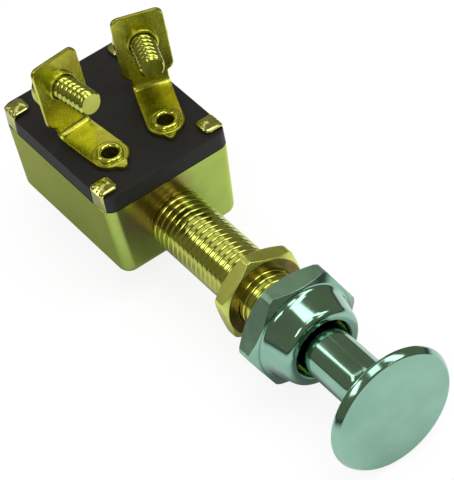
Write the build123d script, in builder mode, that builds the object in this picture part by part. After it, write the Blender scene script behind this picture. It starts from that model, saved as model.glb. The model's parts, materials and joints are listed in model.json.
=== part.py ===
import os
from math import cos, radians, sin, tan

from build123d import *

os.makedirs("parts", exist_ok=True)

# The stem axis is the Y axis, the knob points to -Y, the terminals stand up along +Z,
# and the origin lies on the stem axis in the front face of the case.

# Clearances
thread_gap = 0.06
rod_gap = 0.06
slide_gap = 0.15
wipe_gap = 0.02
seat_gap = 0.02
stop_gap = 0.3

# Threaded stem, staked into the front wall of the case
stem_radius = 5.55
stem_length = 38.5
stem_tip_chamfer = 0.6
thread_pitch = 1.4
thread_depth = 0.6
thread_crest = 0.22
lip_length = 0.9
spigot_radius = 3.2
spigot_length = 1.6

# Drawn case: side walls drafted, floor and corners rounded
case_wall = 0.8
case_depth = 34.1
rim_half_width = 13.22
floor_half_width = 12.33
rim_height = 9.6
floor_height = -(stem_radius + case_wall)
corner_radius = 2.3
floor_radius = 1.6
wall_slope = (rim_half_width - floor_half_width) / (rim_height - floor_height)
inner_floor = floor_height + case_wall
lip_radius = -inner_floor - (floor_radius - case_wall) - seat_gap
neck_radius = lip_radius - 0.6

# Four legs of the case pass the board and fold over it
tab_width = 3.8
tab_from_end = 1.1
tab_reach = 3.9
tab_tip_radius = 1.1
tab_bend_radius = 0.75

# Moulded terminal board, resting on the rim
board_thickness = 3.45
board_inset = 0.05
board_top = rim_height + board_thickness
notch_gap = 0.05

# Terminals: bent strips on a hollow rivet each
rivet_spread = 5.97
rivet_setback = 8.73
left_yaw = 4.6
right_yaw = -20.8
strip_thickness = 0.9
strip_half_width = 3.45
nib_reach = 4.5
nib_half_width = 2.2
bend_reach = 10.1
bend_radius = 1.1
lug_lean = radians(6)
lug_height = 16.2
lug_half_width = 4.8
lug_shoulder = 3.2
lug_corner_radius = 1.4
collar_radius = 2.75
collar_height = 0.8

# Rivets, whose flush lower heads are the fixed contacts
rivet_radius = 2.0
rivet_bore = 1.45
rivet_ring_radius = 2.6
rivet_ring_height = 0.6
rivet_head_radius = 3.2
rivet_head_height = 1.2

# Binding screws through the raised lugs
screw_radius = 2.3
screw_height = 10.4
screw_reach = 8.9
screw_head_radius = 5.5
screw_head_height = 1.3
screw_head_round = 0.3
screw_slot_width = 1.0
screw_slot_depth = 0.7

# Nuts on the stem
nut_corner_share = 0.975
back_nut_across = 15.7
back_nut_length = 3.4
back_nut_place = 22.7
back_nut_turn = 40.2
face_nut_across = 19.8
face_nut_flange = 3.9
face_nut_overlap = 5.6
face_nut_place = stem_length - face_nut_overlap
face_nut_turn = 55.1
collar_sleeve_radius = 8.95
collar_sleeve_length = 5.9
collar_sleeve_round = 3.2

# Knob and rod
travel = 7.0
rod_radius = 2.38
rod_tail_radius = 1.7
rod_in_knob = 11.0
hub_radius = 4.65
hub_length = 14.7
flare_length = 6.8
knob_radius = 12.0
rim_thickness = 1.3
face_rise = 0.4

# Slider inside the case
cushion_radius = 4.8
cushion_length = 2.0
carrier_length = 9.5
carrier_half_width = 6.6
carrier_floor_gap = 0.75
carrier_shelf = 5.4
carrier_rib_top = 8.3
bridge_half_length = 8.4
bridge_width = 5.0
bridge_thickness = 1.2
button_radius = 2.0
button_height = 0.8
button_shank_radius = 1.0
button_tail_radius = 1.5
button_tail_height = 0.4
spring_radius = 1.8
spring_wire_radius = 0.24
spring_turns = 5
spring_pocket_floor = 2.7
clip_thickness = 0.6
clip_radius = 3.2
clip_groove_radius = 1.3
liner_thickness = 0.5
liner_front = 4.5
leaf_thickness = 0.3
leaf_half_length = 3.8
leaf_half_width = 2.5

# Derived places along the axis
hub_back = -(stem_length + stop_gap)
rod_front = hub_back - rod_in_knob
cushion_back = case_wall + lip_length + cushion_length
carrier_front = cushion_back + stop_gap + travel
carrier_back = carrier_front + carrier_length
bridge_place = rivet_setback + travel
bridge_top = rim_height - wipe_gap - button_height
bridge_bottom = bridge_top - bridge_thickness
liner_top = inner_floor + seat_gap + liner_thickness
carrier_bottom = liner_top + carrier_floor_gap


def inner_half_width(height):
    """Half the inside width of the case at one height above the stem axis."""
    return floor_half_width + wall_slope * (height - floor_height) - case_wall


def side_of_case(half_low, low, half_high, high):
    """Corner points of a trapezoid across the case, seen from the front."""
    return [(-half_high, high), (-half_low, low), (half_low, low), (half_high, high)]


# Hollow of the case
hollow_top = rim_height + 2.0
with BuildPart() as case_hollow:
    with BuildSketch(Plane.XZ.offset(-case_wall)):
        with BuildLine():
            Polyline(
                *side_of_case(inner_half_width(inner_floor), inner_floor, inner_half_width(hollow_top), hollow_top),
                close=True,
            )
        make_face()
    extrude(amount=-(case_depth - 2 * case_wall))
    fillet(case_hollow.edges().filter_by(lambda e: abs(e.tangent_at(0.5).Z) > 0.9), corner_radius - case_wall)
    fillet(case_hollow.faces().sort_by(Axis.Z)[0].edges(), floor_radius - case_wall)

# Folded legs of the case, before they are joined to it
tab_front = tab_from_end + tab_width / 2
tab_back = case_depth - tab_front
leg_outside = rim_half_width - seat_gap
tab_tip = rim_half_width - tab_reach
with BuildPart() as case_tabs:
    with BuildSketch(Plane.XZ) as fold_profile:
        with BuildLine():
            Polyline(
                (-leg_outside, rim_height),
                (-leg_outside, board_top + case_wall),
                (-tab_tip, board_top + case_wall),
                (-tab_tip, board_top),
                (-leg_outside + case_wall, board_top),
                (-leg_outside + case_wall, rim_height),
                close=True,
            )
        make_face()
        fillet(fold_profile.vertices().sort_by_distance((-leg_outside, 0, board_top + case_wall))[0], tab_bend_radius)
        mirror(about=Plane.YZ)
    extrude(amount=-case_depth)
    with BuildSketch(Plane.XY.offset(rim_height)):
        with Locations((0, case_depth / 2)):
            RectangleRounded(2 * leg_outside, case_depth - 2 * seat_gap, corner_radius - seat_gap)
        with Locations(
            (-rim_half_width, tab_front),
            (rim_half_width, tab_front),
            (-rim_half_width, tab_back),
            (rim_half_width, tab_back),
        ):
            RectangleRounded(2 * tab_reach, tab_width, tab_tip_radius, mode=Mode.INTERSECT)
    extrude(amount=board_thickness + case_wall, mode=Mode.INTERSECT)

with BuildPart() as case:
    with BuildSketch(Plane.XZ):
        with BuildLine():
            Polyline(
                *side_of_case(floor_half_width, floor_height, rim_half_width, rim_height),
                close=True,
            )
        make_face()
    extrude(amount=-case_depth)
    fillet(case.edges().filter_by(lambda e: abs(e.tangent_at(0.5).Z) > 0.9), corner_radius)
    fillet(case.faces().sort_by(Axis.Z)[0].edges(), floor_radius)
    add(case_hollow.part, mode=Mode.SUBTRACT)
    with BuildSketch(Plane.XZ):
        Circle(neck_radius)
    extrude(amount=-case_wall, mode=Mode.SUBTRACT)
    add(case_tabs.part)
case.part.label = "case"
export_step(case.part, "parts/case.step")

with BuildPart() as terminal_board:
    with BuildSketch(Plane.XY.offset(rim_height)):
        with Locations((0, case_depth / 2)):
            RectangleRounded(
                2 * (rim_half_width - board_inset),
                case_depth - 2 * board_inset,
                corner_radius - board_inset,
            )
    extrude(amount=board_thickness)
    with BuildSketch(Plane.XY.offset(rim_height)):
        with Locations(
            (-rim_half_width, tab_front),
            (rim_half_width, tab_front),
            (-rim_half_width, tab_back),
            (rim_half_width, tab_back),
        ):
            Rectangle(2 * (case_wall + seat_gap), tab_width + 2 * notch_gap)
    extrude(amount=board_thickness, mode=Mode.SUBTRACT)
    with Locations((-rivet_spread, rivet_setback, board_top), (rivet_spread, rivet_setback, board_top)):
        Cylinder(rivet_radius, board_thickness, align=(Align.CENTER, Align.CENTER, Align.MAX), mode=Mode.SUBTRACT)
    with Locations((-rivet_spread, rivet_setback, rim_height), (rivet_spread, rivet_setback, rim_height)):
        Cone(
            rivet_head_radius,
            rivet_radius,
            rivet_head_height,
            align=(Align.CENTER, Align.CENTER, Align.MIN),
            mode=Mode.SUBTRACT,
        )
terminal_board.part.label = "terminal_board"
export_step(terminal_board.part, "parts/terminal_board.step")

# One terminal strip in its own frame: rivet axis at the origin, lug at +Y
lug_face = Plane(
    origin=(0, bend_reach, 0),
    x_dir=(1, 0, 0),
    z_dir=(0, -cos(lug_lean), sin(lug_lean)),
)
inner_bend = (0, bend_reach + strip_thickness * tan(lug_lean), strip_thickness)
outer_bend = (0, bend_reach + strip_thickness / cos(lug_lean), 0)
lug_top = (bend_reach + lug_height * sin(lug_lean), lug_height * cos(lug_lean))
with BuildPart() as strip_blank:
    with BuildSketch(Plane.YZ):
        with BuildLine():
            Polyline(
                (0, 0),
                (outer_bend[1], 0),
                (lug_top[0] + strip_thickness * cos(lug_lean), lug_top[1] - strip_thickness * sin(lug_lean)),
                lug_top,
                (inner_bend[1], strip_thickness),
                (0, strip_thickness),
                close=True,
            )
        make_face()
    extrude(amount=strip_half_width, both=True)
    fillet(strip_blank.edges().filter_by(Axis.X).sort_by_distance(inner_bend)[0], bend_radius)
    fillet(
        strip_blank.edges().filter_by(Axis.X).sort_by_distance(outer_bend)[0],
        bend_radius + strip_thickness,
    )
    fillet(
        strip_blank.edges().filter_by(lambda e: abs(e.length - strip_thickness) < 1e-3).group_by(Axis.Z)[-1],
        lug_corner_radius,
    )
    with BuildSketch(lug_face):
        with Locations((0, (lug_shoulder + lug_height) / 2)):
            RectangleRounded(2 * lug_half_width, lug_height - lug_shoulder, lug_corner_radius)
    extrude(amount=-strip_thickness)
    with BuildSketch(Plane.XY):
        Circle(strip_half_width)
        with BuildLine():
            Polyline(
                (-nib_half_width, -strip_half_width * 0.75),
                (-0.35, -nib_reach),
                (0.35, -nib_reach),
                (nib_half_width, -strip_half_width * 0.75),
                close=True,
            )
        make_face()
    extrude(amount=strip_thickness)
    with BuildSketch(lug_face):
        with Locations((0, screw_height)):
            Circle(collar_radius)
    extrude(amount=collar_height)
    fillet(
        strip_blank.faces().sort_by_distance(
            lug_face.from_local_coords((0, screw_height, collar_height))
        )[0].edges(),
        0.3 * collar_height,
    )
    with BuildSketch(lug_face):
        with Locations((0, screw_height)):
            Circle(screw_radius + thread_gap)
    extrude(amount=2 * strip_thickness, both=True, mode=Mode.SUBTRACT)
    with BuildSketch(Plane.XY):
        Circle(rivet_radius)
    extrude(amount=strip_thickness, mode=Mode.SUBTRACT)

left_seat = Location((-rivet_spread, rivet_setback, board_top), (0, 0, left_yaw))
right_seat = Location((rivet_spread, rivet_setback, board_top), (0, 0, right_yaw))

with BuildPart() as terminal_left:
    with Locations(left_seat):
        add(strip_blank.part)
terminal_left.part.label = "terminal_left"
export_step(terminal_left.part, "parts/terminal_left.step")

with BuildPart() as terminal_right:
    with Locations(right_seat):
        add(strip_blank.part)
terminal_right.part.label = "terminal_right"
export_step(terminal_right.part, "parts/terminal_right.step")

# Hollow rivet: rolled ring on the foot, plain shank, flush contact head under the board
with BuildPart() as rivet_body:
    with BuildSketch(Plane.XZ):
        with BuildLine():
            Polyline(
                (0, -board_thickness),
                (rivet_head_radius, -board_thickness),
                (rivet_radius, -board_thickness + rivet_head_height),
                (rivet_radius, strip_thickness),
                (rivet_ring_radius, strip_thickness),
                (rivet_ring_radius, strip_thickness + rivet_ring_height),
                (rivet_bore, strip_thickness + rivet_ring_height),
                (rivet_bore, -board_thickness + rivet_head_height),
                (0, -board_thickness + rivet_head_height),
                close=True,
            )
        make_face()
    revolve(axis=Axis.Z)
    fillet(rivet_body.faces().sort_by(Axis.Z)[-1].edges(), rivet_ring_height * 0.45)

with BuildPart() as rivet_left:
    with Locations(left_seat):
        add(rivet_body.part)
rivet_left.part.label = "rivet_left"
export_step(rivet_left.part, "parts/rivet_left.step")

with BuildPart() as rivet_right:
    with Locations(right_seat):
        add(rivet_body.part)
rivet_right.part.label = "rivet_right"
export_step(rivet_right.part, "parts/rivet_right.step")

# Binding screw in the frame of the strip: head behind the lug, plain end in front
with BuildPart() as screw_blank:
    with BuildSketch(lug_face.offset(-strip_thickness)):
        with Locations((0, screw_height)):
            Circle(screw_radius)
    extrude(amount=strip_thickness + screw_reach)
    chamfer(
        screw_blank.faces().sort_by_distance(
            lug_face.from_local_coords((0, screw_height, screw_reach))
        )[0].edges(),
        0.35,
    )
    with BuildSketch(lug_face.offset(-strip_thickness)):
        with Locations((0, screw_height)):
            Circle(screw_head_radius)
    extrude(amount=-screw_head_height)
    fillet(
        screw_blank.faces().sort_by_distance(
            lug_face.from_local_coords((0, screw_height, -strip_thickness - screw_head_height))
        )[0].edges(),
        screw_head_round,
    )
    with BuildSketch(lug_face.offset(-strip_thickness - screw_head_height)):
        with Locations((0, screw_height)):
            Rectangle(screw_slot_width, 3 * screw_head_radius)
    extrude(amount=screw_slot_depth, mode=Mode.SUBTRACT)

with BuildPart() as screw_left:
    with Locations(left_seat):
        add(screw_blank.part)
screw_left.part.label = "screw_left"
export_step(screw_left.part, "parts/screw_left.step")

with BuildPart() as screw_right:
    with Locations(right_seat):
        add(screw_blank.part)
screw_right.part.label = "screw_right"
export_step(screw_right.part, "parts/screw_right.step")

# Ridges of the stem thread, drawn as rings of one pitch each from the tip to near the case
thread_flank = (thread_pitch - thread_crest) / 2
thread_start = -stem_length + stem_tip_chamfer + thread_crest
groove_count = int((stem_length - stem_tip_chamfer - 2 * thread_crest) / thread_pitch)
ridge_points = []
for groove in range(groove_count):
    groove_front = thread_start + groove * thread_pitch
    ridge_points.append((stem_radius, groove_front))
    ridge_points.append((stem_radius - thread_depth, groove_front + thread_flank))
    ridge_points.append((stem_radius, groove_front + 2 * thread_flank))

# Stem: threaded barrel outside, neck through the wall, staked lip and spigot inside
with BuildPart() as mounting_stem:
    with BuildSketch(Plane.XY):
        with BuildLine():
            Polyline(
                (rod_radius + rod_gap, -stem_length),
                (stem_radius - stem_tip_chamfer, -stem_length),
                (stem_radius, -stem_length + stem_tip_chamfer),
                *ridge_points,
                (stem_radius, 0),
                (neck_radius, 0),
                (neck_radius, case_wall),
                (lip_radius, case_wall),
                (lip_radius, case_wall + lip_length),
                (spigot_radius, case_wall + lip_length),
                (spigot_radius, case_wall + lip_length + spigot_length),
                (rod_radius + rod_gap, case_wall + lip_length + spigot_length),
                close=True,
            )
        make_face()
    revolve(axis=Axis.Y)
mounting_stem.part.label = "mounting_stem"
export_step(mounting_stem.part, "parts/mounting_stem.step")

# Thin hexagon nut that sits behind the panel
back_nut_corner = back_nut_across / (2 * cos(radians(30)))
back_nut_limit = nut_corner_share * back_nut_corner
back_nut_face = 0.97 * back_nut_across / 2
back_nut_chamfer = (back_nut_limit - back_nut_face) * tan(radians(30))
back_nut_front = back_nut_place + back_nut_length
with BuildPart() as back_nut:
    with BuildSketch(Plane.XZ.offset(back_nut_place)):
        RegularPolygon(back_nut_corner, 6, rotation=back_nut_turn)
        Circle(stem_radius + thread_gap, mode=Mode.SUBTRACT)
    extrude(amount=back_nut_length)
    with BuildSketch(Plane.XY):
        with BuildLine():
            Polyline(
                (0, -back_nut_place),
                (back_nut_face, -back_nut_place),
                (back_nut_limit, -back_nut_place - back_nut_chamfer),
                (back_nut_limit, -back_nut_front + back_nut_chamfer),
                (back_nut_face, -back_nut_front),
                (0, -back_nut_front),
                close=True,
            )
        make_face()
    revolve(axis=Axis.Y, mode=Mode.INTERSECT)
back_nut.part.label = "back_nut"
export_step(back_nut.part, "parts/back_nut.step")

# Plated face nut: thin hexagon flange with a rounded sleeve in front
face_nut_corner = face_nut_across / (2 * cos(radians(30)))
face_nut_limit = nut_corner_share * face_nut_corner
face_nut_face = 0.97 * face_nut_across / 2
face_nut_chamfer = (face_nut_limit - face_nut_face) * tan(radians(30))
flange_front = face_nut_place + face_nut_flange
sleeve_front = flange_front + collar_sleeve_length
with BuildPart() as face_nut:
    with BuildSketch(Plane.XZ.offset(face_nut_place)):
        RegularPolygon(face_nut_corner, 6, rotation=face_nut_turn)
    extrude(amount=face_nut_flange)
    with BuildSketch(Plane.XY):
        with BuildLine():
            Polyline(
                (0, -face_nut_place),
                (face_nut_face, -face_nut_place),
                (face_nut_limit, -face_nut_place - face_nut_chamfer),
                (face_nut_limit, -flange_front + face_nut_chamfer),
                (face_nut_face, -flange_front),
                (0, -flange_front),
                close=True,
            )
        make_face()
    revolve(axis=Axis.Y, mode=Mode.INTERSECT)
    with BuildSketch(Plane.XY) as sleeve_profile:
        with BuildLine():
            Polyline(
                (0, -flange_front),
                (collar_sleeve_radius, -flange_front),
                (collar_sleeve_radius, -sleeve_front),
                (0, -sleeve_front),
                close=True,
            )
        make_face()
        fillet(
            sleeve_profile.vertices().sort_by_distance((collar_sleeve_radius, -sleeve_front, 0))[0],
            collar_sleeve_round,
        )
    revolve(axis=Axis.Y)
    with BuildSketch(Plane.XZ.offset(face_nut_place)):
        Circle(stem_radius + thread_gap)
    extrude(amount=face_nut_flange + collar_sleeve_length, mode=Mode.SUBTRACT)
face_nut.part.label = "face_nut"
export_step(face_nut.part, "parts/face_nut.step")

# Rod: plain shaft, shoulder and thin tail for the carrier, clip groove near the end
tail_end = carrier_back + clip_thickness + 1.4
with BuildPart() as plunger_rod:
    with BuildSketch(Plane.XY):
        with BuildLine():
            Polyline(
                (0, rod_front),
                (rod_radius, rod_front),
                (rod_radius, carrier_front),
                (rod_tail_radius, carrier_front),
                (rod_tail_radius, carrier_back),
                (clip_groove_radius, carrier_back),
                (clip_groove_radius, carrier_back + clip_thickness),
                (rod_tail_radius, carrier_back + clip_thickness),
                (rod_tail_radius, tail_end),
                (0, tail_end),
                close=True,
            )
        make_face()
    revolve(axis=Axis.Y)
plunger_rod.part.label = "plunger_rod"
export_step(plunger_rod.part, "parts/plunger_rod.step")

# Knob: straight hub, concave flare and a broad disc with a low crown
flare_start = hub_back - hub_length
disc_back = flare_start - flare_length
disc_front = disc_back - rim_thickness
disc_edge = knob_radius - 0.35 * rim_thickness
flare_width = disc_edge - hub_radius
with BuildPart() as knob:
    with BuildSketch(Plane.XY):
        with BuildLine():
            Line((0, hub_back), (hub_radius - 0.3, hub_back))
            Line((hub_radius - 0.3, hub_back), (hub_radius, hub_back - 0.3))
            Line((hub_radius, hub_back - 0.3), (hub_radius, flare_start))
            Spline(
                (hub_radius, flare_start),
                (hub_radius + 0.095 * flare_width, flare_start - 0.44 * flare_length),
                (hub_radius + 0.315 * flare_width, flare_start - 0.66 * flare_length),
                (hub_radius + 0.667 * flare_width, flare_start - 0.85 * flare_length),
                (disc_edge, disc_back),
                tangents=[(0, -1), (1, -0.4)],
            )
            ThreePointArc(
                (disc_edge, disc_back),
                (knob_radius, disc_back - rim_thickness / 2),
                (disc_edge, disc_front),
            )
            Spline(
                (disc_edge, disc_front),
                (0, disc_front - face_rise),
                tangents=[(-1, -2 * face_rise / knob_radius), (-1, 0)],
            )
            Line((0, disc_front - face_rise), (0, hub_back))
        make_face()
    revolve(axis=Axis.Y)
    with BuildSketch(Plane.XZ.offset(-hub_back)):
        Circle(rod_radius)
    extrude(amount=rod_in_knob, mode=Mode.SUBTRACT)
knob.part.label = "knob"
export_step(knob.part, "parts/knob.step")

# Soft ring on the spigot that the carrier meets when the knob is pulled out
with BuildPart() as cushion_ring:
    with BuildSketch(Plane.XZ.offset(-(case_wall + lip_length))):
        Circle(cushion_radius)
        Circle(spigot_radius, mode=Mode.SUBTRACT)
    extrude(amount=-cushion_length)
cushion_ring.part.label = "cushion_ring"
export_step(cushion_ring.part, "parts/cushion_ring.step")

# Insulating carrier: block on the rod with a cross channel for the bridge
carrier_middle = (carrier_front + carrier_back) / 2
leaf_ceiling = carrier_bottom + 0.55
channel_width = bridge_width + 2 * slide_gap
with BuildPart() as carrier:
    with Locations((0, carrier_middle, carrier_bottom)):
        Box(
            2 * carrier_half_width,
            carrier_length,
            carrier_rib_top - carrier_bottom,
            align=(Align.CENTER, Align.CENTER, Align.MIN),
        )
    with Locations((0, bridge_place, carrier_shelf)):
        Box(
            3 * carrier_half_width,
            channel_width,
            carrier_rib_top,
            align=(Align.CENTER, Align.CENTER, Align.MIN),
            mode=Mode.SUBTRACT,
        )
    with Locations((0, bridge_place, spring_pocket_floor)):
        Cylinder(
            spring_radius + spring_wire_radius + slide_gap,
            carrier_rib_top,
            align=(Align.CENTER, Align.CENTER, Align.MIN),
            mode=Mode.SUBTRACT,
        )
    with Locations((0, carrier_middle, leaf_ceiling)):
        Box(
            2 * (leaf_half_width + slide_gap),
            2 * (leaf_half_length + slide_gap),
            carrier_rib_top,
            align=(Align.CENTER, Align.CENTER, Align.MAX),
            mode=Mode.SUBTRACT,
        )
    with BuildSketch(Plane.XZ.offset(-carrier_front)):
        Circle(rod_tail_radius)
    extrude(amount=-carrier_length, mode=Mode.SUBTRACT)
carrier.part.label = "carrier"
export_step(carrier.part, "parts/carrier.step")

# Spring clip in the groove of the rod, open on one side
with BuildPart() as rod_clip:
    with BuildSketch(Plane.XZ.offset(-carrier_back)):
        Circle(clip_radius)
        Circle(clip_groove_radius, mode=Mode.SUBTRACT)
        with Locations((0, -clip_radius)):
            Rectangle(1.6 * clip_groove_radius, 2 * clip_radius, mode=Mode.SUBTRACT)
    extrude(amount=-clip_thickness)
rod_clip.part.label = "rod_clip"
export_step(rod_clip.part, "parts/rod_clip.step")

# Contact bridge across the carrier, with a rounded end and a button at each side
with BuildPart() as contact_bridge:
    with BuildSketch(Plane.XY.offset(bridge_bottom)):
        with Locations((0, bridge_place)):
            RectangleRounded(2 * bridge_half_length, bridge_width, 0.45 * bridge_width)
        with Locations((-rivet_spread, bridge_place), (rivet_spread, bridge_place)):
            Circle(button_shank_radius, mode=Mode.SUBTRACT)
    extrude(amount=bridge_thickness)
contact_bridge.part.label = "contact_bridge"
export_step(contact_bridge.part, "parts/contact_bridge.step")

with BuildPart() as button_blank:
    with BuildSketch(Plane.XZ) as button_profile:
        with BuildLine():
            Polyline(
                (0, button_height),
                (button_radius, button_height),
                (button_radius, 0),
                (button_shank_radius, 0),
                (button_shank_radius, -bridge_thickness),
                (button_tail_radius, -bridge_thickness),
                (button_tail_radius, -bridge_thickness - button_tail_height),
                (0, -bridge_thickness - button_tail_height),
                close=True,
            )
        make_face()
        fillet(button_profile.vertices().sort_by_distance((button_radius, 0, button_height))[0], button_height / 2)
    revolve(axis=Axis.Z)

with BuildPart() as button_left:
    with Locations((-rivet_spread, bridge_place, bridge_top)):
        add(button_blank.part)
button_left.part.label = "button_left"
export_step(button_left.part, "parts/button_left.step")

with BuildPart() as button_right:
    with Locations((rivet_spread, bridge_place, bridge_top)):
        add(button_blank.part)
button_right.part.label = "button_right"
export_step(button_right.part, "parts/button_right.step")

# Coil that holds the bridge up against the board
coil_height = bridge_bottom - spring_pocket_floor - 2 * spring_wire_radius
coil_start = spring_pocket_floor + spring_wire_radius
with BuildPart() as contact_spring:
    with BuildLine():
        coil = Helix(
            pitch=coil_height / spring_turns,
            height=coil_height,
            radius=spring_radius,
            center=(0, bridge_place, coil_start),
        )
    with BuildSketch(Plane(origin=coil @ 0, z_dir=coil % 0)):
        Circle(spring_wire_radius)
    sweep()
contact_spring.part.label = "contact_spring"
export_step(contact_spring.part, "parts/contact_spring.step")

# Fibre liner bent along the floor and the side walls of the case
liner_high = rim_height - 1.0
liner_back = case_depth - case_wall - corner_radius
liner_low = inner_floor + seat_gap
with BuildPart() as insulating_liner:
    with BuildSketch(Plane.XZ.offset(-liner_front)) as liner_profile:
        with BuildLine():
            Polyline(
                *side_of_case(
                    inner_half_width(liner_low) - seat_gap,
                    liner_low,
                    inner_half_width(liner_high) - seat_gap,
                    liner_high,
                ),
                close=True,
            )
        make_face()
        fillet(liner_profile.vertices().group_by(Axis.Z)[0], floor_radius - case_wall)
    extrude(amount=-(liner_back - liner_front))
    with BuildSketch(Plane.XZ.offset(-liner_front)) as liner_inside:
        with BuildLine():
            Polyline(
                *side_of_case(
                    inner_half_width(liner_top) - seat_gap - liner_thickness,
                    liner_top,
                    inner_half_width(hollow_top) - seat_gap - liner_thickness,
                    hollow_top,
                ),
                close=True,
            )
        make_face()
        fillet(liner_inside.vertices().group_by(Axis.Z)[0], floor_radius - case_wall - liner_thickness)
    extrude(amount=-(liner_back - liner_front), mode=Mode.SUBTRACT)
insulating_liner.part.label = "insulating_liner"
export_step(insulating_liner.part, "parts/insulating_liner.step")

# Bowed leaf under the carrier that drags on the liner and holds the knob where it is left
leaf_low = liner_top + wipe_gap
with BuildPart() as drag_leaf:
    with BuildSketch(Plane.YZ):
        with BuildLine():
            ThreePointArc(
                (carrier_middle - leaf_half_length, leaf_ceiling - leaf_thickness),
                (carrier_middle, leaf_low),
                (carrier_middle + leaf_half_length, leaf_ceiling - leaf_thickness),
            )
            Line(
                (carrier_middle + leaf_half_length, leaf_ceiling - leaf_thickness),
                (carrier_middle + leaf_half_length, leaf_ceiling),
            )
            ThreePointArc(
                (carrier_middle + leaf_half_length, leaf_ceiling),
                (carrier_middle, leaf_low + leaf_thickness),
                (carrier_middle - leaf_half_length, leaf_ceiling),
            )
            Line(
                (carrier_middle - leaf_half_length, leaf_ceiling),
                (carrier_middle - leaf_half_length, leaf_ceiling - leaf_thickness),
            )
        make_face()
    extrude(amount=leaf_half_width, both=True)
drag_leaf.part.label = "drag_leaf"
export_step(drag_leaf.part, "parts/drag_leaf.step")
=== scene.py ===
"""Studio picture of a push-pull switch.

A drawn brass case carries a black moulded board with two brass screw terminals. A threaded brass stem
with a brass nut and a chromed face nut leads to a chromed pull knob. Sizes are in millimetres, in the
shared frame: the stem axis is Y, the knob points to -Y, and the terminals stand up along +Z.
"""

from __future__ import annotations

import json
import logging
import math
from dataclasses import dataclass, field
from enum import Enum
from functools import partial
from typing import Callable, Sequence

import bmesh
import bpy
from bpy.types import Material, MeshPolygon, NodeSocket, NodeTree, Object
from mathutils import Matrix, Vector
from mathutils.geometry import delaunay_2d_cdt

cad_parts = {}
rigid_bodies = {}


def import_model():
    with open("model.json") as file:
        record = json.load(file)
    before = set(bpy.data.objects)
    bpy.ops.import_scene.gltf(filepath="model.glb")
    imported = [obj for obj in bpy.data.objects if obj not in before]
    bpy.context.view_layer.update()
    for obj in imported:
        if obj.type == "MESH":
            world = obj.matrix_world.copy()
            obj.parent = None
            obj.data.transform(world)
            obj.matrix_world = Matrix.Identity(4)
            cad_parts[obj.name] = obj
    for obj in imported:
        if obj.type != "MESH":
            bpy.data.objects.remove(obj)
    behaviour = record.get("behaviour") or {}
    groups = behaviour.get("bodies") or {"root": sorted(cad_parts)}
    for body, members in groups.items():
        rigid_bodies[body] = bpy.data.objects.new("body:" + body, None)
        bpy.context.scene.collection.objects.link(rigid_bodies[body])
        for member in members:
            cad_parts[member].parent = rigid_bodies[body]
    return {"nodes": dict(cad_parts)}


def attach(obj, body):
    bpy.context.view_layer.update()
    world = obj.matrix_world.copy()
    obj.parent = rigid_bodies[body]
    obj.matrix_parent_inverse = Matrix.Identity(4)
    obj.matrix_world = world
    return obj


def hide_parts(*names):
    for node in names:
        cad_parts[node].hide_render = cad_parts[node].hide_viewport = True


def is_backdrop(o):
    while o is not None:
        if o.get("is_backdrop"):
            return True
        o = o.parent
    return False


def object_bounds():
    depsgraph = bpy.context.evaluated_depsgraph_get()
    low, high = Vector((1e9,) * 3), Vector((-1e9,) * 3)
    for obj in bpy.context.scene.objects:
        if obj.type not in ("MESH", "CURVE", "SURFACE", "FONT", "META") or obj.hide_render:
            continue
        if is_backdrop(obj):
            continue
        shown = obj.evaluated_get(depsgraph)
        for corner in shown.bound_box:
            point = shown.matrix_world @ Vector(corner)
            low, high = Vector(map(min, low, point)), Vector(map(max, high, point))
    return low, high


LOG = logging.getLogger("switch")
MM = 0.001
# Edges sharper than this, in degrees, stay crisp
SHARP = 35.0
# Points closer than this become one
MERGE = 1e-7
# Steps round a turned piece and round a hole
TURNED_STEPS = 72
HOLE_STEPS = 40
WHITE = "#FFFFFF"
# Sizes that several pieces share
WALL = 0.8
RIM_HEIGHT = 9.6
BOARD_THICKNESS = 3.45
BOARD_TOP = RIM_HEIGHT + BOARD_THICKNESS
RIVET_HOLE = 2.0

Flat = tuple[float, float]
Triple = tuple[float, float, float]
Fold = Callable[[float, float, float], Vector]


class Body(str, Enum):
    """Moving groups of the switch."""

    BASE = "base"
    PLUNGER = "plunger"
    FACE_NUT = "face_nut"
    BACK_NUT = "back_nut"
    SCREW_LEFT = "screw_left"
    SCREW_RIGHT = "screw_right"


class Side(Enum):
    """Side of the switch, seen from the knob, with the sign of its X."""

    LEFT = -1
    RIGHT = 1


# Shapes


def arc(centre: Flat, radius: float, start: float, end: float, steps: int = 8) -> list[Flat]:
    """Points along a circular arc between two angles in degrees, both ends included."""
    turns = [math.radians(start + (end - start) * step / steps) for step in range(steps + 1)]
    return [(centre[0] + radius * math.cos(turn), centre[1] + radius * math.sin(turn)) for turn in turns]


def circle(centre: Flat, radius: float) -> list[Flat]:
    """Points round a whole circle, counter-clockwise, without a repeated one."""
    return arc(centre, radius, 0, 360, steps=HOLE_STEPS)[:-1]


def polar(radius: float, turn: float, along: float) -> Vector:
    """A point by its radius and angle in radians round the Y axis, and its place along it."""
    return Vector((radius * math.cos(turn), along, radius * math.sin(turn)))


def encloses(loop: Sequence[Flat], point: Flat) -> bool:
    """Tells whether a closed loop goes round a point.

    Args:
        loop: Corner points of the loop.
        point: Point to test.

    Returns:
        True if the point lies inside.
    """
    inside = False
    for here, there in zip(loop, [*loop[1:], loop[0]]):
        if (here[1] > point[1]) != (there[1] > point[1]):
            cross = here[0] + (point[1] - here[1]) / (there[1] - here[1]) * (there[0] - here[0])
            inside = inside != (point[0] < cross)
    return inside


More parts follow.
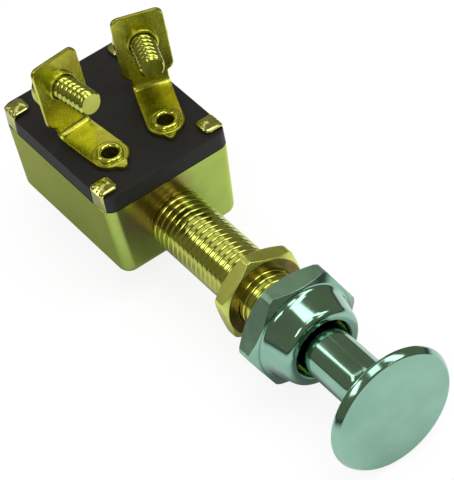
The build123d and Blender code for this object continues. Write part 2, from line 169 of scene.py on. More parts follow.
def inset(loop: Sequence[Flat], distance: float) -> list[Flat]:
    """Moves a loop to its left, which is into the material.

    Args:
        loop: Points, counter-clockwise round material and clockwise round a hole.
        distance: How far each edge moves.

    Returns:
        The moved points, in the same order.
    """
    moved = []
    for before, here, after in zip([loop[-1], *loop[:-1]], loop, [*loop[1:], loop[0]]):
        first = Vector((before[1] - here[1], here[0] - before[0])).normalized()
        second = Vector((here[1] - after[1], after[0] - here[0])).normalized()
        lean = first + second
        lean = lean * (2 / max(lean.length_squared, 1.0))
        moved.append((here[0] + distance * lean.x, here[1] + distance * lean.y))
    return moved


@dataclass
class Sketch:
    """Points and faces of one piece in millimetres, before they become a mesh."""

    points: list[Vector] = field(default_factory=list)
    faces: list[tuple[int, ...]] = field(default_factory=list)

    def add(self, points: Sequence[Vector]) -> list[int]:
        """Adds points.

        Args:
            points: New points.

        Returns:
            Their numbers.
        """
        start = len(self.points)
        self.points.extend(points)
        return list(range(start, len(self.points)))

    def bridge(self, first: Sequence[int], second: Sequence[int]) -> None:
        """Joins two closed rings of equal count with four-sided faces.

        Args:
            first: Point numbers of one ring.
            second: Point numbers of the other ring.
        """
        count = len(first)
        for here in range(count):
            after = (here + 1) % count
            self.faces.append((first[here], first[after], second[after], second[here]))

    def lathe(self, profile: Sequence[Flat], segments: int = TURNED_STEPS) -> None:
        """Turns a profile round the Y axis.

        Args:
            profile: Radius and place along the axis of each point.
            segments: Number of steps round the axis.
        """
        turns = [2 * math.pi * step / segments for step in range(segments)]
        previous: list[int] = []
        for radius, along in profile:
            if radius == 0:
                ring = self.add([Vector((0, along, 0))]) * segments
            else:
                ring = self.add([polar(radius, turn, along) for turn in turns])
            if previous:
                self.bridge(previous, ring)
            previous = ring

    def thread(
        self, crest: float, root: float, pitch: float, start: float, end: float, tip: float, flat: float
    ) -> None:
        """Adds a screw thread along the Y axis, cut back to a cone at both ends.

        Args:
            crest: Outside radius.
            root: Radius at the bottom of the groove.
            pitch: Distance between two ridges.
            start: Lowest place along the axis.
            end: Highest place along the axis.
            tip: Radius at which both ends stop.
            flat: Share of the pitch that the flat crest takes.
        """
        steps, per_turn, lead, spare = TURNED_STEPS, 12, 1.5, 3
        shares = [min(row, per_turn - row) * 2 / per_turn / (1 - flat) for row in range(per_turn)]
        heights = [math.sin(math.pi / 2 * min(share, 1.0)) for share in shares]
        rows = per_turn * (math.ceil((end - start) / pitch) + spare)
        ring: list[list[int]] = []
        for row in range(rows):
            line = []
            for step in range(steps):
                along = start + pitch * (row / per_turn + step / steps - lead)
                along = min(max(along, start), end)
                limit = tip + min(along - start, end - along)
                radius = min(root + heights[row % per_turn] * (crest - root), limit)
                line.append(polar(radius, 2 * math.pi * step / steps, along))
            ring.append(self.add(line))
        for row in range(rows - per_turn - 1):
            for step in range(steps):
                near, far = (row, step + 1) if step + 1 < steps else (row + per_turn, 0)
                corners = (ring[row][step], ring[near][far], ring[near + 1][far], ring[row + 1][step])
                self.faces.append(corners)

    def place(self, matrix: Matrix) -> None:
        """Moves every point by a matrix, which carries the piece's own frame to its place."""
        self.points = [matrix @ point for point in self.points]

    def join(self, other: Sketch) -> None:
        """Adds another sketch as a loose shell.

        Args:
            other: Sketch to add.
        """
        start = len(self.points)
        self.points.extend(other.points)
        self.faces.extend(tuple(start + corner for corner in face) for face in other.faces)

    def to_object(self, name: str, sharp: float = SHARP) -> Object:
        """Makes the mesh object.

        Args:
            name: Name of the object.
            sharp: Edge angle in degrees above which an edge stays crisp.

        Returns:
            The object, in metres, linked to the scene.
        """
        mesh = bpy.data.meshes.new(name)
        shape = bmesh.new()
        corners = [shape.verts.new(point * MM) for point in self.points]
        for face in self.faces:
            distinct = list(dict.fromkeys(face))
            if len(distinct) > 2:
                shape.faces.new([corners[corner] for corner in distinct])
        bmesh.ops.remove_doubles(shape, verts=shape.verts, dist=MERGE)
        bmesh.ops.dissolve_degenerate(shape, edges=shape.edges, dist=MERGE)
        loose = [vertex for vertex in shape.verts if not vertex.link_faces]
        bmesh.ops.delete(shape, geom=loose, context="VERTS")
        bmesh.ops.recalc_face_normals(shape, faces=shape.faces)
        shape.to_mesh(mesh)
        shape.free()
        mesh.shade_smooth()
        mesh.set_sharp_from_angle(angle=math.radians(sharp))
        made = bpy.data.objects.new(name, mesh)
        bpy.context.scene.collection.objects.link(made)
        return made


@dataclass
class SheetBlank:
    """Flat blank with rounded edges, which a fold then carries into place."""

    outline: list[Flat]
    thickness: float
    edge_round: float
    holes: list[list[Flat]] = field(default_factory=list)
    inner_points: list[Flat] = field(default_factory=list)

    def sketch(self, fold: Fold) -> Sketch:
        """Builds the blank's shell.

        Args:
            fold: Where a point goes, from its place across, its place along and its height in the sheet.

        Returns:
            The folded shell.
        """
        made = Sketch()
        soft, half = self.edge_round, self.edge_round * (1 - math.sqrt(0.5))
        levels = [(soft, 0.0), (half, half), (0.0, soft)]
        levels += [(depth, self.thickness - height) for depth, height in reversed(levels)]
        loops = [self.outline, *[hole[::-1] for hole in self.holes]]
        caps: list[list[int]] = [[], []]
        for loop in loops:
            rings = []
            for depth, height in levels:
                rings.append(made.add([Vector((*point, height)) for point in inset(loop, depth)]))
            for lower, upper in zip(rings, rings[1:]):
                made.bridge(lower, upper)
            caps[0] += rings[0]
            caps[1] += rings[-1]
        for cap, height in zip(caps, (0.0, self.thickness)):
            cap += made.add([Vector((*point, height)) for point in self.inner_points])
            self.fill(made, cap, [len(loop) for loop in loops])
        made.points = [fold(*point) for point in made.points]
        return made

    @staticmethod
    def fill(made: Sketch, cap: list[int], counts: list[int]) -> None:
        """Fills one side of the blank with triangles.

        Args:
            made: Sketch that receives the faces.
            cap: Point numbers of the loops and then of the inner points.
            counts: Number of points in each loop, the outline first.
        """
        flat = [made.points[number].to_2d() for number in cap]
        edges, loops, start = [], [], 0
        for count in counts:
            edges += [(start + step, start + (step + 1) % count) for step in range(count)]
            loops.append([(point.x, point.y) for point in flat[start : start + count]])
            start += count
        points, _, faces, sources, _, _ = delaunay_2d_cdt(flat, edges, [], 0, MERGE)
        for face in faces:
            middle = sum((points[corner] for corner in face), Vector((0, 0))) / len(face)
            spot = (middle.x, middle.y)
            if encloses(loops[0], spot) and not any(encloses(hole, spot) for hole in loops[1:]):
                made.faces.append(tuple(cap[sources[corner][0]] for corner in face))


def soften(target: Object, width: float) -> None:
    """Rounds the crisp edges of an object.

    Args:
        target: Object to change.
        width: Width of the rounding in millimetres.
    """
    edge = target.modifiers.new("edge_round", "BEVEL")
    edge.width = width * MM
    edge.segments = 3
    edge.limit_method = "ANGLE"
    edge.angle_limit = math.radians(20)
    edge.harden_normals = True


def level_shading(target: Object) -> None:
    """Lets an object's large flat faces rule the shading next to small rounded edges."""
    shading = target.modifiers.new("flat_shading", "WEIGHTED_NORMAL")
    shading.keep_sharp = True


def carve(target: Object, tool: Sketch) -> None:
    """Cuts a shape out of an object.

    Args:
        target: Object to cut.
        tool: Closed shape to take away.
    """
    cutter = tool.to_object("carving_tool")
    change = target.modifiers.new("carve", "BOOLEAN")
    change.operation = "DIFFERENCE"
    change.object = cutter
    graph = bpy.context.evaluated_depsgraph_get()
    before, after = target.data, bpy.data.meshes.new_from_object(target.evaluated_get(graph))
    target.modifiers.remove(change)
    target.data = after
    bpy.data.meshes.remove(before)
    bpy.data.objects.remove(cutter)
    after.set_sharp_from_angle(angle=math.radians(SHARP))


# Finishes


def linear(colour: str) -> tuple[float, float, float, float]:
    """Turns an sRGB hex colour into scene-linear red, green and blue, with full cover."""
    parts = [int(colour[place : place + 2], 16) / 255 for place in (1, 3, 5)]
    return (*[part / 12.92 if part <= 0.04045 else ((part + 0.055) / 1.055) ** 2.4 for part in parts], 1.0)


def add_node(
    tree: NodeTree,
    kind: str,
    settings: dict[str | int, object] | None = None,
    links: dict[str | int, NodeSocket] | None = None,
    output: str | int = 0,
) -> NodeSocket | None:
    """Adds one shader node.

    Args:
        tree: Node tree that receives it.
        kind: Blender's name of the node type, without ShaderNode.
        settings: Value of each input or property, by its name or input number.
        links: Socket that feeds each input, by its name or input number.
        output: Name or number of the output that is wanted.

    Returns:
        That output, or nothing for a node without outputs.
    """
    node = tree.nodes.new("ShaderNode" + kind)
    for key, value in (settings or {}).items():
        if isinstance(key, int) or key in node.inputs:
            node.inputs[key].default_value = value
        else:
            setattr(node, key, value)
    for key, socket in (links or {}).items():
        tree.links.new(socket, node.inputs[key])
    return node.outputs[output] if node.outputs else None


@dataclass(frozen=True)
class PaintedShade:
    """Soft patch of painted shade and reflection round one place of a surface, in millimetres."""

    tone: str
    centre: Triple
    reach: Flat
    wander: float
    roughness: float

    def over(
        self, tree: NodeTree, place: NodeSocket, cloud: NodeSocket, colour: NodeSocket, gloss: NodeSocket
    ) -> tuple[NodeSocket, NodeSocket]:
        """Lets a colour and a roughness fade into the patch.

        Args:
            tree: Tree of the material.
            place: Object coordinates.
            cloud: Noise that makes the border of the patch wander.
            colour: Colour of the clean metal.
            gloss: Roughness of the clean metal.

        Returns:
            The colour and the roughness with the patch.
        """
        node = partial(add_node, tree)
        centre = tuple(size * MM for size in self.centre)
        wander = self.wander * MM
        near, far = (size * MM + wander / 2 for size in self.reach)
        away = node("VectorMath", {"operation": "DISTANCE", 1: centre}, {0: place}, "Value")
        border = node("Math", {"operation": "MULTIPLY_ADD", 1: wander}, {0: cloud, 2: away})
        limits = {"From Min": near, "From Max": far, "To Min": 1.0, "To Max": 0.0}
        share = node("MapRange", limits, {"Value": border})
        mixed = node("Mix", {"data_type": "RGBA", 7: linear(self.tone)}, {0: share, 6: colour}, 2)
        return mixed, node("Mix", {3: self.roughness}, {0: share, 2: gloss})


@dataclass(frozen=True)
class Finish:
    """Surface of one material: two tones in broad patches, a worked grain and, on some, a patch of painted
    shade.
    """

    name: str
    slot: str
    tone: str
    shade: str
    roughness: Flat
    patch_mm: float
    grain_mm: Triple
    relief_mm: float
    metallic: float = 1.0
    ior: float | None = None
    edge: str = WHITE
    painted_shade: PaintedShade | None = None

    def material(self) -> Material:
        """Makes the material, or finds it if it was made before.

        Returns:
            The material.
        """
        found = bpy.data.materials.get(self.name)
        if found:
            return found
        made = bpy.data.materials.new(self.name)
        made.use_nodes = True
        tree = made.node_tree
        tree.nodes.clear()
        node = partial(add_node, tree)
        place = node("TexCoord", output="Object")
        cloudy = {"Scale": 1 / (self.patch_mm * MM), "Detail": 3.0, "Roughness": 0.55}
        patches = node("TexNoise", cloudy, {"Vector": place})
        stretch = {"Scale": tuple(1 / (size * MM) for size in self.grain_mm)}
        stretched = node("Mapping", stretch, {"Vector": place})
        grain = node("TexNoise", {"Scale": 1.0, "Detail": 2.0}, {"Vector": stretched})
        spread = node("MapRange", {"From Min": 0.35, "From Max": 0.65}, {"Value": patches})
        tones = {"data_type": "RGBA", 6: linear(self.shade), 7: linear(self.tone)}
        colour = node("Mix", tones, {0: spread}, 2)
        low, high = self.roughness
        limits = {"From Min": 0.3, "From Max": 0.7, "To Min": low, "To Max": high}
        gloss = node("MapRange", limits, {"Value": grain})
        # Patch of painted shade and reflection, on the finishes that have one
        if self.painted_shade:
            colour, gloss = self.painted_shade.over(tree, place, patches, colour, gloss)
        relief = node("Bump", {"Strength": 1.0, "Distance": self.relief_mm * MM}, {"Height": grain})
        settings: dict[str | int, object] = {"Metallic": self.metallic, "Specular Tint": linear(self.edge)}
        if self.ior is not None:
            settings["IOR"] = self.ior
        sources = {"Base Color": colour, "Roughness": gloss, "Normal": relief}
        node("OutputMaterial", links={"Surface": node("BsdfPrincipled", settings, sources)})
        return made

    def apply(self, target: Object) -> None:
        """Gives an object this finish.

        Args:
            target: Object to dress.
        """
        target.data.materials.clear()
        target.data.materials.append(self.material())


# Real tool marks and grit are finer than the picture shows, so each grain is drawn 0.4 mm or coarser

# Pale green-gold sheet, mirror-like, with faint upright draw lines, and a brown patch on the front wall by
# the stem that is painted shade and painted reflection of the stem
DRAWN_BRASS = Finish(
    "brass_deep_drawn_bright",
    "drawn_brass",
    "#A2B65C",
    "#96AB54",
    (0.10, 0.17),
    9.0,
    (0.5, 0.5, 9.0),
    0.0006,
    edge="#FFFFCB",
    painted_shade=PaintedShade("#98845E", (-3.2, 0.0, 6.2), (4.5, 8.5), 8.0, 0.2),
)
# Strong yellow-olive strip, satin, with darker cloudy patches at random that are painted shade and reflection
STAMPED_BRASS = Finish(
    "brass_stamped_satin", "stamped_brass", "#C6C850", "#A8A43C", (0.24, 0.30), 7.0, (1.5, 1.5, 1.5), 0.0002
)
# Same yellow strip where the riveting tool rolled it over: glossy, so the ring flashes
ROLLED_BRASS = Finish(
    "brass_rolled_glossy", "stamped_brass", "#D2D45E", "#C6C856", (0.12, 0.18), 3.0, (0.8, 0.8, 0.8), 0.0003
)
# Bore of a rivet, rough as drawn and never polished, in a darker brown-olive that is painted shade for the
# deep hole
DULL_SHADED_BRASS = Finish(
    "brass_bore_dull_painted_shade", "stamped_brass", "#8C8546", "#746E38", (0.40, 0.55), 1.5, (0.6, 0.6, 0.6), 0.0020
)
# Leg ends hammered over the board: glossy and slightly pillowed, in a paler gold than the case that is
# painted light falling on their tops
FOLDED_BRASS = Finish(
    "brass_folded_painted_light", "drawn_brass", "#C6C878", "#B6B868", (0.12, 0.20), 2.0, (1.0, 1.0, 1.0), 0.0006
)
# Bright yellow-green bar with fine rings from the lathe tool
TURNED_BRASS = Finish(
    "brass_turned_bright", "turned_brass", "#B3BA5A", "#A5AC4E", (0.12, 0.18), 5.0, (6.0, 0.4, 6.0), 0.0003
)
# Yellow-olive nut, milled on its flats: satin, with a fine speckle
MILLED_BRASS = Finish(
    "brass_milled_satin", "turned_brass", "#D2D872", "#C4CA66", (0.30, 0.40), 3.0, (0.5, 0.5, 0.5), 0.0020
)
# Brown-gold faces of the same nut, with rings from the facing tool: their darker tone is painted shade
SHADED_FACE_BRASS = Finish(
    "brass_faced_painted_shade", "turned_brass", "#AE9A5A", "#8A7642", (0.20, 0.30), 3.0, (6.0, 0.4, 6.0), 0.0004
)
# Cool green-grey mirror plate with a barely rippled face
CHROME_PLATE = Finish(
    "chrome_plated_polished", "chrome_plate", "#87AE9C", "#7EA593", (0.10, 0.14), 6.0, (2.2, 2.2, 2.2), 0.0006
)
# Cool green-grey plate over milled flats: satin, with a fine speckle
SATIN_CHROME = Finish(
    "chrome_plated_over_milled_flats",
    "chrome_plate",
    "#8CB29C",
    "#7FA48E",
    (0.30, 0.46),
    3.0,
    (0.5, 0.5, 0.5),
    0.0030,
)
# Grey ground steel with fine rings round the rod
GROUND_STEEL = Finish(
    "steel_ground_rod", "rod_steel", "#A8A9A6", "#8E908D", (0.22, 0.34), 4.0, (5.0, 0.4, 5.0), 0.0008
)
# White silver-like metal, dulled where it wipes
WIPED_SILVER = Finish(
    "silver_alloy_wiped_contact",
    "contact_metal",
    "#C9C6BC",
    "#A7A397",
    (0.25, 0.42),
    2.0,
    (0.4, 3.0, 0.4),
    0.0008,
)
# Near-black moulding, faintly blue, with a dull fine-grained skin
MOULDED_PHENOLIC = Finish(
    "phenolic_moulded_black",
    "phenolic",
    "#0B0B0C",
    "#070708",
    (0.58, 0.70),
    3.0,
    (0.4, 0.4, 0.4),
    0.0030,
    0.0,
    1.5,
)
# Grey-brown pressed paper with short crossing fibres
PRESSED_FIBRE = Finish(
    "fibre_sheet_pressed", "fibre", "#6A5C49", "#564A3B", (0.70, 0.85), 3.0, (0.4, 2.5, 0.4), 0.0060, 0.0, 1.5
)
# Dark grey rubber with a dusty bloom
CUT_RUBBER = Finish(
    "rubber_cut_ring", "rubber", "#2B2B2A", "#222221", (0.65, 0.80), 2.0, (0.5, 0.5, 0.5), 0.0040, 0.0, 1.52
)


# Pieces


@dataclass
class Piece:
    """One visible piece, which stands for the solid of the same name."""

    name: str
    body: Body
    finish: Finish

    def build(self) -> Object:
        """Makes the mesh of the piece and returns its object."""
        raise NotImplementedError

    def dress(self, made: Object) -> None:
        """Gives the piece its finish and its moving group.

        Args:
            made: Object of the piece.
        """
        self.finish.apply(made)
        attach(made, self.body.value)
        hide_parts(self.name)

    def dress_part(self, made: Object, finish: Finish, chosen: Callable[[MeshPolygon], bool]) -> None:
        """Gives some faces a finish of their own.

        Args:
            made: Object of the piece.
            finish: Finish of those faces.
            chosen: Tells whether a face is one of them.
        """
        made.data.materials.append(finish.material())
        for face in made.data.polygons:
            face.material_index = int(chosen(face))

    def make(self) -> None:
        """Builds and dresses the piece, and reports it."""
        made = self.build()
        self.dress(made)
        LOG.info("%s: %d faces, %s", made.name, len(made.data.polygons), self.finish.name)


@dataclass
class DrawnCase(Piece):
    """Drawn box with drafted sides, round corners and four legs folded over the board."""

    wall: float = WALL
    depth: float = 34.1
    rim_half_width: float = 13.22
    floor_half_width: float = 12.33
    rim_height: float = RIM_HEIGHT
    floor_height: float = -6.35
    corner_radius: float = 2.3
    floor_radius: float = 1.6
    hole_radius: float = 4.13
    hole_ends: Flat = (-1.0, 1.6)
    hole_steps: int = 96
    board_top: float = BOARD_TOP
    leg_overlap: float = 0.6
    leg_gap: float = 0.02
    leg_bend: float = 0.06
    leg_edge: float = 0.36
    leg_rows: Triple = (-0.5, 0.0, 0.5)
    leg_finish: Finish = FOLDED_BRASS
    tab_width: float = 3.8
    tab_from_end: float = 1.1
    tab_reach: float = 3.9
    tab_tip_radius: float = 1.1
    tab_bulge: float = 0.32
    tab_step: float = 0.18

    def half_width(self, height: float) -> float:
        """Half the outside width at one height above the stem axis."""
        slope = (self.rim_half_width - self.floor_half_width) / (self.rim_height - self.floor_height)
        return self.floor_half_width + slope * (height - self.floor_height)

    def ring(self, depth: float, height: float) -> list[Vector]:
        """One closed ring round the box.

        Args:
            depth: How far the ring lies inside the outer walls.
            height: Height of the ring.

        Returns:
            The points of the ring.
        """
        radius = self.corner_radius - depth
        across = self.half_width(height) - depth - radius
        front, back = depth + radius, self.depth - depth - radius
        corners = [(across, back, 0), (-across, back, 90), (-across, front, 180), (across, front, 270)]
        loop = [point for x, y, turn in corners for point in arc((x, y), radius, turn, turn + 90)]
        return [Vector((x, y, height)) for x, y in loop]

    def skin(self, made: Sketch, depth: float) -> list[int]:
        """Adds one skin of the box, from its rim down to a closed floor.

        Args:
            made: Sketch that receives the skin.
            depth: How far the skin lies inside the outer walls.

        Returns:
            Point numbers of the rim.
        """
        radius, floor = self.floor_radius - depth, self.floor_height + depth
        rim = made.add(self.ring(depth, self.rim_height))
        last = rim
        for step in range(9):
            turn = math.pi / 2 * step / 8
            inward, drop = radius * (1 - math.cos(turn)), radius * (1 - math.sin(turn))
            ring = made.add(self.ring(depth + inward, floor + drop))
            made.bridge(last, ring)
            last = ring
        made.faces.append(tuple(last))
        return rim

    def outline_half(self, along: float) -> float:
        """Half the plan width of the rim at one place along the case, less near its corners."""
        past = max(self.corner_radius - min(along, self.depth - along), 0.0)
        return self.rim_half_width - self.corner_radius + math.sqrt(self.corner_radius**2 - past**2)

    def leg(self, side: Side, middle: float) -> Sketch:
        """Builds one leg, folded flat on the board.

        Args:
            side: Wall that the leg grows from.
            middle: Place of the leg along the case.

        Returns:
            The leg's shell.
        """
        bend, outside = self.leg_bend, self.rim_half_width - self.leg_gap
        start, straight = self.rim_height - self.leg_overlap, self.board_top - bend
        turn_end = straight + bend * math.pi / 2
        length = self.tab_reach - self.wall - bend
        reach = turn_end + length
        half, tip = self.tab_width / 2, self.tab_tip_radius
        turns = [straight + bend * math.pi / 2 * step / 6 for step in range(7)]
        outline = [(-half, start), (half, start)]
        outline += [(half, turn) for turn in turns]
        outline += arc((half - tip, reach - tip), tip, 0, 90)
        outline += arc((tip - half, reach - tip), tip, 90, 180)
        outline += [(-half, turn) for turn in reversed(turns)]

        def fold(across: float, along: float, height: float) -> Vector:
            """Carries a point of the flat leg into place.

            Args:
                across: Place across the leg.
                along: Place along the leg.
                height: Height above the leg's outer skin.

            Returns:
                The place in the shared frame.
            """
            within = self.wall - height
            if along <= straight:
                x, z = outside - height, along
            elif along < turn_end:
                turn = (along - straight) / bend
                x = outside - self.wall - bend + (bend + within) * math.cos(turn)
                z = straight + (bend + within) * math.sin(turn)
            else:
                x, z = outside - self.wall - bend - (along - turn_end), self.board_top + within
                run = min((along - turn_end) / length, 1.0)
                pillow = math.cos(math.pi / 2 * across / half) * math.sin(math.pi * run)
                z += self.tab_bulge * within / self.wall * max(pillow, 0.0)
            x = min(x, self.outline_half(middle + across) - self.leg_gap)
            return Vector((side.value * x, middle + across, z))

        inner = [(half * share, turn) for turn in turns for share in self.leg_rows]
        for step in range(1, 8):
            widest = 4 if step < 7 else 2
            shares = [number * self.tab_step for number in range(-widest, widest + 1)]
            inner += [(half * share, turn_end + length * step / 8) for share in shares]
        return SheetBlank(outline, self.wall, self.leg_edge, inner_points=inner).sketch(fold)

    def build(self) -> Object:
        """Makes the box, its hole for the stem and its legs.

        Returns:
            The case.
        """
        shell = Sketch()
        shell.bridge(self.skin(shell, 0.0), self.skin(shell, self.wall))
        made = shell.to_object(self.name)
        hole = Sketch()
        outer, inner = self.hole_ends
        profile = [(0, outer), (self.hole_radius, outer), (self.hole_radius, inner), (0, inner)]
        hole.lathe(profile, self.hole_steps)
        carve(made, hole)
        middle = self.tab_from_end + self.tab_width / 2
        legs = Sketch()
        for side in Side:
            for place in (middle, self.depth - middle):
                legs.join(self.leg(side, place))
        legs_made = legs.to_object("case_legs")
        level_shading(made)
        level_shading(legs_made)
        self.leg_finish.apply(legs_made)
        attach(legs_made, self.body.value)
        return made


@dataclass
class Seat:
    """Place of one terminal: its rivet on the board and its turn about the rivet."""

    spread: float = 5.97
    setback: float = 8.73
    height: float = BOARD_TOP
    turn_left: float = 4.6
    turn_right: float = -20.8

    def matrix(self, side: Side) -> Matrix:
        """Where the terminal's own frame goes.

        Args:
            side: Which terminal.

        Returns:
            The placing matrix, in millimetres.
        """
        turn = self.turn_left if side is Side.LEFT else self.turn_right
        place = Matrix.Translation((side.value * self.spread, self.setback, self.height))
        return place @ Matrix.Rotation(math.radians(turn), 4, "Z")


@dataclass
class TerminalBoard(Piece):
    """Moulded board on the rim, notched for the four legs."""

    seat: Seat
    half_width: float = 13.17
    front: float = 0.05
    back: float = 34.05
    end_gap: float = 0.05
    corner_radius: float = 2.25
    bottom: float = RIM_HEIGHT
    thickness: float = BOARD_THICKNESS
    edge: float = 0.14
    notch_depth: float = 0.77
    notch_half_width: float = 1.95
    notch_from_end: float = 3.0
    rivet_radius: float = RIVET_HOLE

    def quarter(self, x_sign: int, near: float, y_sign: int) -> list[Flat]:
        """One corner with its notch, from the end edge round to the side edge.

        Args:
            x_sign: Side of the board.
            near: Y of the end edge.
            y_sign: Direction into the board along Y.

        Returns:
            The points of the corner.
        """
        notch = near - self.end_gap * y_sign + y_sign * self.notch_from_end
        low, high = notch - y_sign * self.notch_half_width, notch + y_sign * self.notch_half_width
        inside, start = self.half_width - self.notch_depth, self.half_width - self.corner_radius
        past = self.corner_radius - abs(low - near)
        last = math.degrees(math.acos(past / self.corner_radius))
        curve = arc((0, 0), self.corner_radius, 90, 90 - last, steps=5)
        flat = [(start + x, near + y_sign * (self.corner_radius - y)) for x, y in curve]
        flat[-1] = (start + math.sqrt(self.corner_radius**2 - past**2), low)
        flat += [(inside, low), (inside, high), (self.half_width, high)]
        return [(x_sign * x, y) for x, y in flat]

    def build(self) -> Object:
        """Makes the board.

        Returns:
            The board.
        """
        outline = self.quarter(1, self.front, 1)
        outline += self.quarter(1, self.back, -1)[::-1]
        outline += self.quarter(-1, self.back, -1)
        outline += self.quarter(-1, self.front, 1)[::-1]
        places = [(side.value * self.seat.spread, self.seat.setback) for side in Side]
        holes = [circle(place, self.rivet_radius) for place in places]
        blank = SheetBlank(outline, self.thickness, self.edge, holes)
        made = blank.sketch(lambda x, y, z: Vector((x, y, self.bottom + z))).to_object(self.name)
        level_shading(made)
        return made


@dataclass
class Lug:
    """Upright end of a terminal, in the terminal's own frame."""

    reach: float = 10.1
    lean: float = 6.0
    thickness: float = 0.9
    screw_height: float = 10.4

    def at(self, across: float, up: float, out: float) -> Vector:
        """A point by its place on the front face of the lug.

        Args:
            across: Place across the lug.
            up: Place up the lug from the foot of its front face.
            out: Distance in front of that face.

        Returns:
            The point in the terminal's frame.
        """
        lean = math.radians(self.lean)
        y = self.reach + up * math.sin(lean) - out * math.cos(lean)
        return Vector((across, y, up * math.cos(lean) + out * math.sin(lean)))

    def screw_matrix(self) -> Matrix:
        """Frame of the screw: its Y axis points out of the back of the lug, from the front face.

        Returns:
            The placing matrix inside the terminal's frame.
        """
        origin = self.at(0, self.screw_height, 0)
        back = (self.at(0, self.screw_height, -1) - origin).normalized()
        up = (self.at(0, self.screw_height + 1, 0) - origin).normalized()
        turn = Matrix((back.cross(up), back, up)).transposed().to_4x4()
        return Matrix.Translation(origin) @ turn


@dataclass
class SeatedPiece(Piece):
    """Piece of one terminal, placed by the terminal's seat."""

    side: Side
    seat: Seat
    lug: Lug


@dataclass
class Terminal(SeatedPiece):
    """Strip with a riveted foot, a nib in front and a wider upright lug with a raised screw collar."""

    half_width: float = 3.45
    edge: float = 0.2
    nib_reach: float = 4.5
    nib_half_width: float = 1.3
    nib_tip: tuple[Flat, ...] = ((0.35, 0.0), (0.6, 0.22))
    bend_radius: float = 1.1
    lug_height: float = 16.2
    lug_half_width: float = 4.8
    lug_shoulder: float = 3.2
    lug_fillet: float = 0.3
    lug_corner: float = 1.4
    rivet_radius: float = RIVET_HOLE
    screw_hole: float = 2.36
    collar_radius: float = 2.95
    collar_height: float = 0.9
    collar_rounds: Flat = (0.3, 0.2)
    collar_root: float = 0.05
    ring_radius: float = 3.02
    ring_roll: float = 0.3
    ring_flatness: float = 0.45
    ring_sink: float = 0.02

    def bend(self) -> Triple:
        """Measures of the bend.

        Returns:
            Y of its centre, where the flat foot ends too, Z of its centre, and its end along the strip.
        """
        lean = math.radians(self.lug.lean)
        rise = self.lug.thickness + self.bend_radius
        centre = self.lug.reach - (self.bend_radius - rise * math.sin(lean)) / math.cos(lean)
        return centre, rise, centre + self.bend_radius * (math.pi / 2 - lean)

    def lug_start(self) -> float:
        """Place up the lug's front face, from its foot, where the bend ends."""
        lean = math.radians(self.lug.lean)
        return (self.lug.thickness + self.bend_radius) / math.cos(lean) - self.bend_radius * math.tan(lean)

    def fold(self, across: float, along: float, height: float) -> Vector:
        """Carries a point of the flat strip into place.

        Args:
            across: Place across the strip.
            along: Place along the strip from the rivet.
            height: Height above the lower skin.

        Returns:
            The place in the terminal's frame.
        """
        centre, rise, end = self.bend()
        if along <= centre:
            return Vector((across, along, height))
        if along < end:
            turn = (along - centre) / self.bend_radius
            radius = self.bend_radius + self.lug.thickness - height
            return Vector((across, centre + radius * math.sin(turn), rise - radius * math.cos(turn)))
        return self.lug.at(across, self.lug_start() + along - end, height - self.lug.thickness)

    def outline(self) -> list[Flat]:
        """Edge of the flat strip.

        Returns:
            The points, counter-clockwise.
        """
        start, _, end = self.bend()
        base = end - self.lug_start()
        top, shoulder = base + self.lug_height, base + self.lug_shoulder
        wide, corner, fillet = self.lug_half_width, self.lug_corner, self.lug_fillet
        slope = -math.degrees(math.acos(self.nib_half_width / self.half_width))
        right = [(x, y - self.nib_reach) for x, y in self.nib_tip]
        right += arc((0, 0), self.half_width, slope, 0, steps=14)
        right += [(self.half_width, start + (end - start) * step / 8) for step in range(9)]
        right += arc((self.half_width + fillet, shoulder - fillet), fillet, 180, 90, steps=4)
        right += arc((wide - corner, shoulder + corner), corner, -90, 0, steps=7)[1:]
        right += arc((wide - corner, top - corner), corner, 0, 90, steps=7)
        return right + [(-x, y) for x, y in reversed(right)]

    def build(self) -> Object:
        """Makes the strip, its pressed ring and its collar.

        Returns:
            The terminal.
        """
        start, _, end = self.bend()
        shares = [number / 4 for number in range(-3, 4)]
        rows = [start + (end - start) * step / 8 for step in range(9)]
        inner = [(self.half_width * share, row) for row in rows for share in shares]
        screw_place = end - self.lug_start() + self.lug.screw_height
        holes = [circle((0, 0), self.rivet_radius), circle((0, screw_place), self.screw_hole)]
        blank = SheetBlank(self.outline(), self.lug.thickness, self.edge, holes, inner)
        whole = blank.sketch(self.fold)
        ring = Sketch()
        foot = self.lug.thickness - self.ring_sink
        roll = arc((self.ring_radius, 0), self.ring_roll, 0, 180)
        ring.lathe([(radius, foot + self.ring_flatness * up) for radius, up in roll])
        ring.place(Matrix.Rotation(math.pi / 2, 4, "X"))
        whole.join(ring)
        collar = Sketch()
        radius, bore, (out, rim) = self.collar_radius, self.screw_hole, self.collar_rounds
        edge = arc((radius - out, out - self.collar_height), out, 0, -90, steps=5)
        edge += arc((bore + rim, rim - self.collar_height), rim, -90, -180, steps=5)
        collar.lathe([(radius, self.collar_root), *edge, (bore, self.collar_root)])
        collar.place(self.lug.screw_matrix())
        whole.join(collar)
        whole.place(self.seat.matrix(self.side))
        made = whole.to_object(self.name)
        level_shading(made)
        return made


